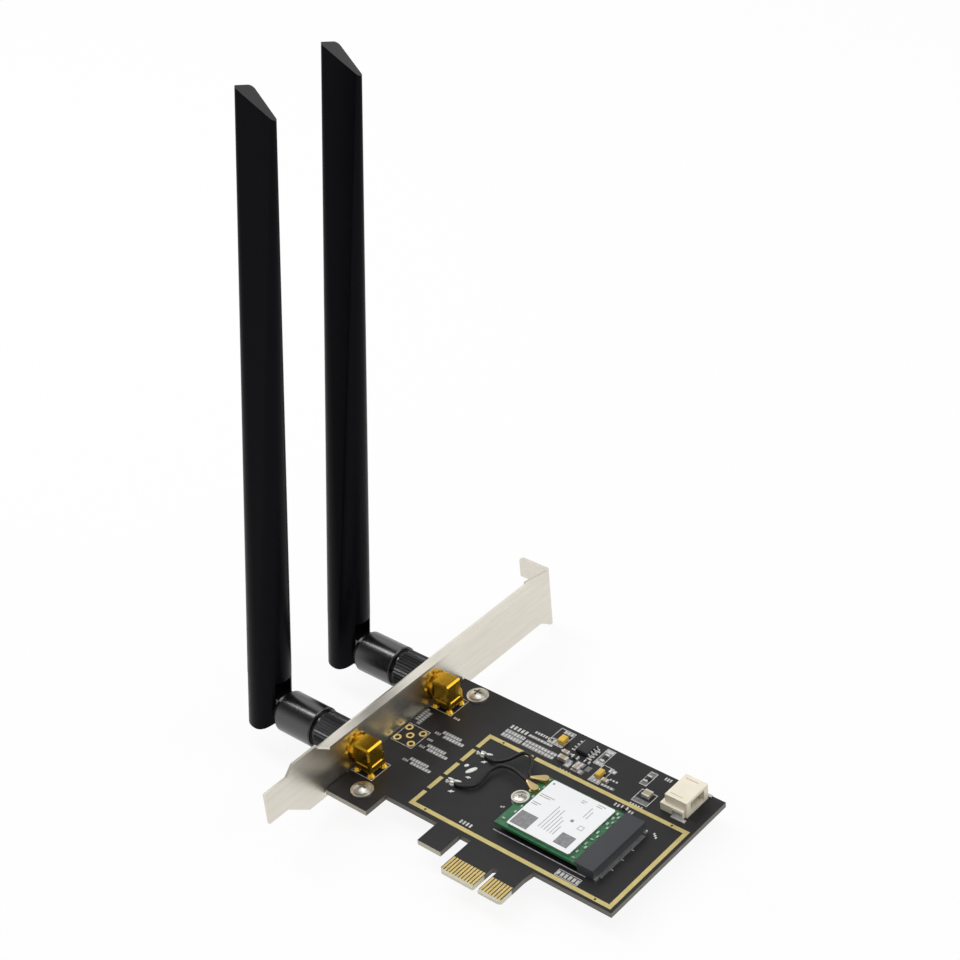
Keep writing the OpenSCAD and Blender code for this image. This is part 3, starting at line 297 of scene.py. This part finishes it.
# What finish_material takes for each of the record's slots that it makes
FINISHES = {
    "contact_gold": dict(
        colour=(0.82, 0.63, 0.25), rough=(0.26, 0.38), metallic=1.0, tone=(400.0, 0.08),
    ),
    "frame_gold": dict(
        colour=(0.68, 0.57, 0.245), rough=(0.42, 0.55), metallic=0.8, tone=(300.0, 0.07),
        grain=(2500.0, 0.2, GRAIN_DEPTH),
    ),
    "screw_steel": dict(
        colour=(0.70, 0.67, 0.61), rough=(0.34, 0.44), metallic=1.0, tone=(500.0, 0.06),
    ),
    "jack_gold": dict(
        colour=(0.72, 0.43, 0.035), rough=(0.20, 0.28), metallic=1.0, tone=(200.0, 0.06),
        grain=(1500.0, 0.02, FINE_DEPTH),
    ),
    "insulator_white": dict(colour=(0.86, 0.85, 0.80)),
    "socket_black": dict(
        colour=(0.050, 0.053, 0.058), rough=(0.45, 0.58), specular=0.3,
        grain=(3500.0, 0.2, GRAIN_DEPTH),
    ),
    "tinned": dict(
        colour=(0.70, 0.70, 0.68), rough=(0.28, 0.42), metallic=0.9, tone=(700.0, 0.10),
    ),
    "module_green": dict(
        colour=(0.022, 0.152, 0.058), rough=(0.30, 0.42), tone=(700.0, 0.25), coat=(0.15, 0.25),
    ),
    "shield_steel": dict(
        colour=(0.70, 0.70, 0.69), rough=(0.26, 0.36), metallic=1.0, tone=(150.0, 0.05),
    ),
    "label_white": dict(
        colour=(0.88, 0.885, 0.895), rough=(0.45, 0.60), tone=(80.0, 0.02),
        grain=(3000.0, 0.08, FINE_DEPTH),
    ),
    "lead_black": dict(
        colour=(0.006, 0.006, 0.0065), rough=(0.32, 0.44), specular=0.35, tone=(300.0, 0.15),
    ),
    "header_cream": dict(
        colour=(0.87, 0.805, 0.655), rough=(0.40, 0.52), tone=(250.0, 0.03),
        grain=(2500.0, 0.12, GRAIN_DEPTH),
    ),
    "tantalum_yellow": dict(colour=(0.72, 0.46, 0.05), rough=(0.35, 0.5), tone=(500.0, 0.12)),
    "ceramic_tan": dict(colour=(0.42, 0.33, 0.22), rough=(0.45, 0.6), tone=(900.0, 0.12)),
    "nut_black": dict(colour=(0.016, 0.016, 0.018), rough=(0.28, 0.38), tone=(300.0, 0.12)),
    "pin_steel": dict(colour=(0.5, 0.5, 0.5), rough=(0.3, 0.4), metallic=1.0),
}

# The same for single nodes that differ a little from the rest of their slot
NODE_FINISHES = {
    "elbow_black": dict(
        colour=(0.0046, 0.0042, 0.0056), rough=(0.22, 0.27), specular=1.0, tone=(200.0, 0.12),
        grain=(2600.0, 0.03, FINE_DEPTH),
    ),
    "chip_black": dict(
        colour=(0.030, 0.030, 0.032), rough=(0.45, 0.6), specular=0.3,
        grain=(4000.0, 0.25, GRAIN_DEPTH),
    ),
    "plug_gold": dict(
        colour=(0.66, 0.51, 0.25), rough=(0.34, 0.44), metallic=1.0, tone=(500.0, 0.08),
    ),
    "chip_lead_tin": dict(
        colour=(0.62, 0.62, 0.61), rough=(0.35, 0.5), metallic=0.2, tone=(900.0, 0.10),
    ),
}
OWN_FINISH = {
    "elbow_low": "elbow_black",
    "elbow_high": "elbow_black",
    "driver_chip": "chip_black",
    "chip_resistors": "chip_black",
    "coax_plug_low": "plug_gold",
    "coax_plug_high": "plug_gold",
    "driver_chip_leads": "chip_lead_tin",
    "chip_terminals": "chip_lead_tin",
}


def dress_nodes():
    """Gives every carried-over node its slot's finish, or its own."""
    made = {"board_black": board_material(), "bracket_steel": bracket_material()}
    made["antenna_black"] = rod_material()
    for name, values in (FINISHES | NODE_FINISHES).items():
        made[name] = finish_material(name, **values)
    for part in frame["record"]["subparts"]:
        node = frame["nodes"][part["node"]]
        node.data.materials.clear()
        node.data.materials.append(made[OWN_FINISH.get(part["node"], part["material_slot"])])
    return made


# Mesh pieces
def mesh_piece(name, points, faces, material, smooth=False):
    mesh = bpy.data.meshes.new(name)
    mesh.from_pydata([tuple(p) for p in points], [], faces)
    mesh.validate()
    for polygon in mesh.polygons:
        polygon.use_smooth = smooth
    mesh.materials.append(material)
    piece = bpy.data.objects.new(name, mesh)
    bpy.context.scene.collection.objects.link(piece)
    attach(piece, CARD)
    return piece


BOX_FACES = [
    (0, 3, 2, 1), (4, 5, 6, 7), (0, 1, 5, 4), (1, 2, 6, 5), (2, 3, 7, 6), (3, 0, 4, 7),
]


def add_box(x0, y0, x1, y1, low, high, points, faces):
    """A box over a rectangle in millimetres, from height low to high in metres."""
    start = len(points)
    for z in (low, high):
        for x, y in ((x0, y0), (x1, y0), (x1, y1), (x0, y1)):
            points.append(Vector((x * MM, y * MM, z)))
    faces.extend(tuple(start + i for i in face) for face in BOX_FACES)


def centred(x, y, long, wide):
    return x - long / 2, y - wide / 2, x + long / 2, y + wide / 2


def print_piece(name, bars, surface, finish):
    """Flat printed bars, each (x0, y0, x1, y1), as one piece on a surface at that height."""
    points, faces = [], []
    for bar in bars:
        add_box(*bar, surface - SEAT_DEPTH, surface + PRINT_H, points, faces)
    mesh_piece(name, points, faces, finish_material(name + "_ink", **finish))


# Leads: the same routes as the solids they replace
LEAD_R = 0.5
LEAD_ROUTES = {
    "high": [
        (-30.4, 26.9, 0.6), (-28.4, 26.4, 0.7), (-26.4, 26.3, 0.9), (-24.6, 27.2, 1.1),
        (-23.1, 28.7, 1.5), (-22, 30.5, 2), (-20.9, 32.1, 2.4), (-18.9, 32.3, 2.6),
        (-16.3, 30.3, 2.8), (-14.5, 27.7, 3.1), (-13.4, 25.7, 3.3), (-12.1, 24.8, 3.35),
    ],
    "low": [
        (-29.8, 13.3, 0.6), (-28.1, 13.3, 0.7), (-26.2, 13.9, 0.8), (-24.6, 15.4, 0.9),
        (-24.2, 17.3, 1), (-24.4, 20, 1.1), (-24.6, 22.4, 1.3), (-23.5, 24.9, 1.6),
        (-21.6, 25.6, 1.9), (-19, 25.5, 2.3), (-15.8, 24.5, 2.8), (-12.1, 23.1, 3.35),
    ],
}
LEAD_SIDES = 16
LEAD_STEPS = 6


def smooth_route(route):
    """Points on the smooth curve through the route's points."""
    ends = [route[0]] + list(route) + [route[-1]]
    stations = [Vector(p) * MM for p in ends]
    curve = []
    for a, b, c, d in zip(stations, stations[1:], stations[2:], stations[3:]):
        for step in range(LEAD_STEPS):
            t = step / LEAD_STEPS
            linear = (c - a) * t
            square = (2 * a - 5 * b + 4 * c - d) * t**2
            cube = (3 * b - a - 3 * c + d) * t**3
            curve.append(0.5 * (2 * b + linear + square + cube))
    curve.append(stations[-1])
    return curve


def swept_tube(curve, radius, sides):
    """A closed round tube along a curve."""
    points = []
    faces = []
    for i, centre in enumerate(curve):
        ahead = curve[min(i + 1, len(curve) - 1)] - curve[max(i - 1, 0)]
        along = ahead.normalized()
        side = along.cross(Vector((0, 0, 1))).normalized()
        over = side.cross(along)
        for k in range(sides):
            angle = 2 * math.pi * k / sides
            points.append(centre + radius * (math.cos(angle) * side + math.sin(angle) * over))
    for i in range(len(curve) - 1):
        low = i * sides
        for k in range(sides):
            after = (k + 1) % sides
            faces.append((low + k, low + after, low + sides + after, low + sides + k))
    faces.append(tuple(reversed(range(sides))))
    last = (len(curve) - 1) * sides
    faces.append(tuple(range(last, last + sides)))
    return points, faces


def make_leads(jacket):
    for level, route in LEAD_ROUTES.items():
        points, faces = swept_tube(smooth_route(route), LEAD_R * MM, LEAD_SIDES)
        piece = mesh_piece(f"lead_{level}_round", points, faces, jacket, True)
        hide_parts(f"lead_{level}")


# Printed marks on the board: outlines round the jacks and parts, and the line by the module
LINE_W = 0.22
JACK_XS = (-57.1, -49.35)
JACK_OUTLINES = [(1.45, 9.4), (17.6, 25.9), (34.4, 42.4)]
MODULE_LINE = (-10.2, 6.15, 20.4, 6.4)
PART_OUTLINES = [
    (-20.6, 41.7, -15.4, 48.6), (-1.8, 35.8, 1.9, 43.1), (-4.8, 42.0, -1.9, 48.9),
    (10.3, 42.6, 12.7, 48.3), (12.4, 36.2, 17.6, 41.4), (13.2, 2.4, 20.6, 4.9),
]
# Grey fields of print, each (x0, y0, x1, y1)
PRINT_FIELDS = [
    (-46.7, 27.5, -40.3, 28.9), (-45.4, 26.1, -38.4, 27.5), (-48.5, 26.3, -46.6, 26.8),
    (-46.7, 20.8, -40.3, 22.2), (-45.6, 19.5, -38.7, 20.8), (-48.5, 19.6, -46.6, 20.1),
    (-47.0, 14.0, -40.6, 15.3), (-45.7, 12.7, -38.9, 14.0), (-48.6, 12.8, -46.8, 13.3),
    (-55.8, 26.6, -54.3, 32.6), (-57.3, 27.8, -55.8, 33.2), (-32.9, 36.3, -26.2, 39.8),
    (-25.5, 36.4, -14.9, 39.3), (-26.3, 40.4, -18.5, 41.5), (-20.3, 41.9, -15.6, 44.2),
    (-19.0, 47.0, -15.6, 48.4), (-4.6, 42.2, -2.1, 48.7), (-1.6, 36.0, 1.7, 38.2),
    (0.8, 41.4, 3.1, 42.9), (-13.2, 38.0, -9.4, 39.4), (-15.1, 40.9, -10.9, 41.7),
    (-10.9, 36.4, -8.9, 38.6), (-8.3, 36.2, -4.3, 37.9), (-8.6, 38.5, -5.6, 40.4),
    (-4.9, 38.2, -3.4, 40.2), (2.3, 36.0, 6.6, 37.0), (10.5, 42.8, 12.5, 44.6),
    (10.5, 46.3, 12.5, 48.1), (12.6, 36.4, 17.4, 37.9),
]
# Rows of short printed bars: first centre, step, number and size
PRINT_ROWS = [
    ((-46.2, 28.2), (0.95, 0), 7, (0.62, 0.9)), ((-44.9, 26.8), (1.05, 0), 7, (0.72, 0.95)),
    ((-46.2, 21.5), (0.95, 0), 7, (0.62, 0.9)), ((-45.1, 20.15), (1.05, 0), 7, (0.72, 0.9)),
    ((-46.5, 14.65), (0.95, 0), 7, (0.62, 0.9)), ((-45.2, 13.35), (1.05, 0), 7, (0.72, 0.9)),
    ((-48.2, 26.9), (0.7, 0), 3, (0.3, 0.8)), ((-48.2, 20.2), (0.7, 0), 3, (0.3, 0.8)),
    ((-48.3, 13.4), (0.7, 0), 3, (0.3, 0.8)), ((-55.05, 27.1), (0, 0.95), 6, (1.0, 0.6)),
    ((-56.55, 28.3), (0, 0.95), 6, (1.0, 0.6)), ((-32.3, 41.1), (1.25, 0), 5, (0.75, 1.5)),
    ((-32.4, 38.9), (1.0, 0), 7, (0.7, 1.1)), ((-32.4, 37.2), (1.0, 0), 7, (0.7, 1.3)),
    ((-25.0, 38.55), (1.1, 0), 10, (0.8, 0.9)), ((-25.0, 37.2), (1.1, 0), 10, (0.8, 1.0)),
    ((-25.8, 40.95), (1.05, 0), 8, (0.8, 0.7)), ((-25.2, 43.0), (0.9, 0), 7, (0.6, 0.9)),
    ((-19.9, 42.9), (1.2, 0), 4, (0.9, 1.8)), ((-18.5, 47.7), (1.1, 0), 3, (0.8, 1.0)),
    ((-3.35, 42.9), (0, 5.1), 2, (2.2, 1.1)), ((-1.1, 37.1), (1.1, 0), 3, (0.8, 1.7)),
    ((1.3, 42.15), (1.2, 0), 2, (0.9, 1.1)), ((-12.6, 38.7), (1.3, 0), 3, (0.95, 1.0)),
    ((-14.6, 41.3), (1.05, 0), 4, (0.75, 0.6)), ((-9.9, 37.5), (0, 0), 1, (1.4, 1.6)),
    ((-7.7, 37.05), (1.15, 0), 3, (0.85, 1.3)), ((-7.9, 39.45), (1.2, 0), 2, (0.9, 1.4)),
    ((-12.2, 43.3), (0, 1.27), 4, (1.5, 0.5)), ((-6.5, 42.6), (0, 1.27), 4, (1.7, 0.55)),
    ((2.7, 36.5), (1.0, 0), 4, (0.7, 0.7)), ((3.4, 39.3), (1.0, 0), 3, (0.6, 0.6)),
    ((-10.6, 34.9), (1.1, 0), 4, (0.5, 0.6)), ((-5.2, 34.7), (1.0, 0), 3, (0.5, 0.6)),
    ((10.2, 32.4), (1.0, 0), 2, (0.5, 1.2)), ((15.0, 32.2), (0.9, 0), 2, (0.5, 1.0)),
    ((13.8, 3.65), (1.25, 0), 6, (0.85, 1.5)), ((-19.0, 3.6), (1.1, 0), 4, (0.6, 1.3)),
    ((13.1, 35.0), (0.9, 0), 5, (0.5, 0.9)), ((15.3, 48.1), (0.8, 0), 3, (0.45, 1.2)),
    ((24.3, 21.1), (0, -4.4), 3, (0.9, 0.25)), ((25.3, 29.2), (0.6, -0.5), 3, (0.5, 0.7)),
    ((-13.9, 14.1), (0.6, 0.3), 2, (0.5, 0.6)), ((-48.0, 34.6), (0.75, 0), 3, (0.45, 0.8)),
    ((-48.2, 23.5), (0.7, 0), 3, (0.45, 0.8)), ((21.2, 26.2), (0.6, -0.5), 2, (0.5, 0.5)),
]
FIELD_INK = dict(colour=(0.17, 0.17, 0.165), rough=(0.5, 0.65), tone=(1500.0, 0.35))
BAR_INK = dict(colour=(0.55, 0.545, 0.535), rough=(0.5, 0.65), tone=(1500.0, 0.35))


def outline_bars(x0, y0, x1, y1):
    return [
        (x0, y0, x1, y0 + LINE_W),
        (x0, y1 - LINE_W, x1, y1),
        (x0, y0 + LINE_W, x0 + LINE_W, y1 - LINE_W),
        (x1 - LINE_W, y0 + LINE_W, x1, y1 - LINE_W),
    ]


def make_print():
    bars = [MODULE_LINE]
    for y0, y1 in JACK_OUTLINES:
        bars += outline_bars(JACK_XS[0], y0, JACK_XS[1], y1)
    for outline in PART_OUTLINES:
        bars += outline_bars(*outline)
    for (x, y), step, number, size in PRINT_ROWS:
        bars += [centred(x + i * step[0], y + i * step[1], *size) for i in range(number)]
    print_piece("print_fields", PRINT_FIELDS, BOARD_TOP, FIELD_INK)
    print_piece("board_print", bars, BOARD_TOP + PRINT_STEP, BAR_INK)


# Solder spots beside the leads: centre, half length, half width, turn in degrees and height
SPOTS = [
    (-31.6, 28.1, 1.25, 0.42, 174, 0.3), (-30.0, 28.3, 1.1, 0.42, 20, 0.3),
    (-30.6, 27.2, 1.2, 0.5, 98, 0.4), (-29.2, 25.1, 0.95, 0.28, 34, 0.2),
    (-29.1, 25.1, 0.6, 0.26, 120, 0.2), (-32.2, 21.3, 0.75, 0.55, 60, 0.25),
    (-29.85, 20.5, 1.9, 0.8, 67, 0.35), (-28.7, 17.8, 0.85, 0.3, 20, 0.2),
    (-28.6, 17.8, 0.55, 0.26, 110, 0.2), (-31.9, 14.65, 1.25, 0.42, 3, 0.3),
    (-30.1, 15.0, 1.2, 0.42, 18, 0.3), (-30.7, 13.7, 1.3, 0.5, 104, 0.4),
    (-28.9, 10.9, 0.95, 0.28, 30, 0.2), (-28.9, 10.9, 0.6, 0.26, 120, 0.2),
]
SPOT_SIDES = 20
SPOT_RINGS = 5
SOLDER = dict(colour=(0.80, 0.79, 0.77), rough=(0.35, 0.5), metallic=0.1, tone=(900.0, 0.12))


def add_dome(x, y, half_long, half_wide, turn, high, points, faces):
    """A low dome of solder on an oval base."""
    cosine, sine = math.cos(math.radians(turn)), math.sin(math.radians(turn))
    along = Vector((cosine, sine, 0)) * half_long * MM
    across = Vector((-sine, cosine, 0)) * half_wide * MM
    centre = Vector((x * MM, y * MM, BOARD_TOP - SEAT_DEPTH))
    start = len(points)
    for ring in range(SPOT_RINGS):
        lift = math.pi / 2 * ring / SPOT_RINGS
        for k in range(SPOT_SIDES):
            angle = 2 * math.pi * k / SPOT_SIDES
            out = math.cos(lift) * (math.cos(angle) * along + math.sin(angle) * across)
            points.append(centre + out + Vector((0, 0, high * MM * math.sin(lift))))
    points.append(centre + Vector((0, 0, high * MM)))
    top = len(points) - 1
    for ring in range(SPOT_RINGS - 1):
        low = start + ring * SPOT_SIDES
        for k in range(SPOT_SIDES):
            after = (k + 1) % SPOT_SIDES
            faces.append((low + k, low + after, low + SPOT_SIDES + after, low + SPOT_SIDES + k))
    last = start + (SPOT_RINGS - 1) * SPOT_SIDES
    for k in range(SPOT_SIDES):
        faces.append((last + k, last + (k + 1) % SPOT_SIDES, top))
    faces.append(tuple(reversed(range(start, start + SPOT_SIDES))))


def make_spots():
    points, faces = [], []
    for spot in SPOTS:
        add_dome(*spot, points, faces)
    solder = finish_material("solder_pale", **SOLDER)
    mesh_piece("solder_spots", points, faces, solder, True)


# Label: plain fields and lines on the top of the shield, in place of its print
LABEL_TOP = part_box("module_label")[1].z
LABEL_PALE = [
    (-6.0, 21.4, -1.4, 21.7), (-6.0, 20.7, -2.4, 21.0), (-6.0, 17.9, -3.2, 18.2),
    (-6.0, 17.2, -4.0, 17.5), (4.6, 25.6, 6.2, 25.9), (4.6, 24.9, 5.8, 25.2),
    (9.0, 26.6, 11.6, 26.9), (9.0, 25.9, 10.8, 26.2), (1.1, 11.2, 1.35, 20.4),
    (2.1, 11.2, 2.35, 19.2), (3.1, 11.0, 3.35, 20.0), (4.1, 11.0, 4.35, 17.6),
    (5.1, 11.0, 5.35, 16.8), (6.0, 11.0, 6.25, 14.6), (8.6, 20.6, 8.85, 24.8),
    (9.6, 20.6, 9.85, 23.6), (10.0, 16.2, 11.6, 16.4), (10.0, 17.6, 11.6, 17.8),
    (10.0, 16.4, 10.2, 17.6), (11.4, 16.4, 11.6, 17.6),
]
LABEL_DARK = [
    (-6.1, 8.3, -0.6, 13.8), (7.9, 8.9, 12.3, 13.3), (-5.8, 26.1, -5.2, 26.7),
    (6.8, 17.5, 7.7, 18.4),
]
LABEL_LINE_INK = dict(colour=(0.42, 0.42, 0.43), rough=(0.5, 0.6), tone=(900.0, 0.2))
LABEL_FIELD_INK = dict(colour=(0.24, 0.24, 0.245), rough=(0.5, 0.6), tone=(900.0, 0.2))


def make_label_print():
    print_piece("label_lines", LABEL_PALE, LABEL_TOP, LABEL_LINE_INK)
    print_piece("label_fields", LABEL_DARK, LABEL_TOP, LABEL_FIELD_INK)


# Small parts on the module's own board: centre and size
MODULE_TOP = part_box("module_board")[1].z
MODULE_PARTS = [
    (14.9, 27.3, 0.6, 0.9), (15.9, 26.4, 0.5, 0.9), (14.9, 25.4, 0.6, 1.0),
    (15.8, 24.0, 0.5, 0.9), (14.9, 22.9, 0.6, 1.0), (15.9, 21.6, 0.5, 0.8),
    (14.9, 18.9, 0.5, 1.1), (15.8, 17.6, 0.5, 0.9), (15.2, 16.0, 0.9, 0.5),
    (14.9, 13.9, 0.5, 1.0), (15.7, 12.7, 0.6, 0.9), (14.8, 10.3, 0.5, 0.9), (15.4, 8.0, 0.9, 0.5),
    (-8.6, 9.0, 0.9, 0.5), (-7.6, 12.6, 0.5, 0.9), (-7.6, 15.2, 0.5, 0.9), (-7.5, 19.9, 0.5, 0.9),
    (-7.4, 24.3, 0.4, 0.9),
]
MODULE_PART_H = 0.3
PART_FINISH = dict(colour=(0.42, 0.46, 0.38), rough=(0.35, 0.5), tone=(1200.0, 0.35))


def make_module_parts():
    points, faces = [], []
    low, high = MODULE_TOP - SEAT_DEPTH, MODULE_TOP + MODULE_PART_H * MM
    for part in MODULE_PARTS:
        add_box(*centred(*part), low, high, points, faces)
    pale = finish_material("part_pale", **PART_FINISH)
    mesh_piece("module_parts", points, faces, pale)


# Stage and light
FLOOR_SIZE = 6.0
FLOOR_COLOUR = (0.86, 0.86, 0.86, 1)
FLOOR_ROUGH = 0.9
FLOOR_SHARE = 0.90  # how much of the floor's look is plain white, so that the rest shows shadow
WHITE = (1, 1, 1, 1)


def camera_white(nodes, links):
    """1 for rays that see the background from the camera, a mirror or glass."""
    path = nodes.new("ShaderNodeLightPath").outputs
    seen = calculate(nodes, links, "MAXIMUM", path["Is Camera Ray"], path["Is Glossy Ray"])
    return calculate(nodes, links, "MAXIMUM", seen, path["Is Transmission Ray"])


def floor_material():
    material, nodes, links = new_material("floor_white")
    shader = shader_of(nodes)
    shader.inputs["Base Color"].default_value = FLOOR_COLOUR
    shader.inputs["Roughness"].default_value = FLOOR_ROUGH
    glow = nodes.new("ShaderNodeEmission")
    glow.inputs["Color"].default_value = WHITE
    share = calculate(nodes, links, "MULTIPLY", camera_white(nodes, links), FLOOR_SHARE)
    blend = nodes.new("ShaderNodeMixShader")
    links.new(share, blend.inputs["Fac"])
    links.new(shader.outputs["BSDF"], blend.inputs[1])
    links.new(glow.outputs["Emission"], blend.inputs[2])
    links.new(blend.outputs["Shader"], nodes["Material Output"].inputs["Surface"])
    return material


def make_floor():
    mesh = bpy.data.meshes.new("floor")
    half = FLOOR_SIZE / 2
    z = cad_box[0].z
    corners = [(-half, -half, z), (half, -half, z), (half, half, z), (-half, half, z)]
    mesh.from_pydata(corners, [], [(0, 1, 2, 3)])
    mesh.materials.append(floor_material())
    floor = bpy.data.objects.new("floor", mesh)
    bpy.context.scene.collection.objects.link(floor)


# World: even light, which the camera and reflections see as white below and darker overhead
WORLD_LIGHT = 0.40
HORIZON_LIGHT = 1.0
CEILING_LIGHT = 0.12
CEILING_RISE = (0.22, 0.62)  # where the view upward starts to darken, and where it has


def make_world():
    world = bpy.data.worlds.new("studio")
    bpy.context.scene.world = world
    world.use_nodes = True
    nodes = world.node_tree.nodes
    links = world.node_tree.links
    background = nodes["Background"]
    background.inputs["Color"].default_value = WHITE
    up = axis_of(nodes, links, coordinates(nodes, "Generated"), "Z")
    blend = nodes.new("ShaderNodeMix")
    blend.inputs["A"].default_value = WORLD_LIGHT
    links.new(camera_white(nodes, links), blend.inputs["Factor"])
    seen = remap(nodes, links, up, HORIZON_LIGHT, CEILING_LIGHT, *CEILING_RISE)
    links.new(seen, blend.inputs["B"])
    links.new(blend.outputs["Result"], background.inputs["Strength"])


# Lamps: place and size in metres, and power
SOFTBOXES = {
    "softbox_top": ((-0.05, 0.10, 1.00), (0.8, 0.5), 3.0),
    "softbox_left": ((-0.85, 0.06, 1.00), (0.35, 0.6), 6.0),
    "softbox_right": ((0.75, 0.45, 0.60), (0.7, 0.7), 2.5),
    "softbox_back": ((-0.76, 0.64, 0.70), (0.55, 0.55), 0.9),
}
LIGHT_TARGET = Vector((-0.03, 0.02, 0.03))


def make_lamps():
    for name, (place, size, power) in SOFTBOXES.items():
        light = bpy.data.lights.new(name, "AREA")
        light.shape = "RECTANGLE"
        light.size, light.size_y = size
        light.energy = power
        lamp = bpy.data.objects.new(name, light)
        lamp.location = place
        aim = LIGHT_TARGET - Vector(place)
        lamp.rotation_euler = aim.to_track_quat("-Z", "Y").to_euler()
        bpy.context.scene.collection.objects.link(lamp)


make_camera()
finishes = dress_nodes()
make_leads(finishes["lead_black"])
make_print()
make_spots()
make_label_print()
make_module_parts()
make_floor()
make_world()
make_lamps()
bpy.context.scene.view_settings.view_transform = "Standard"
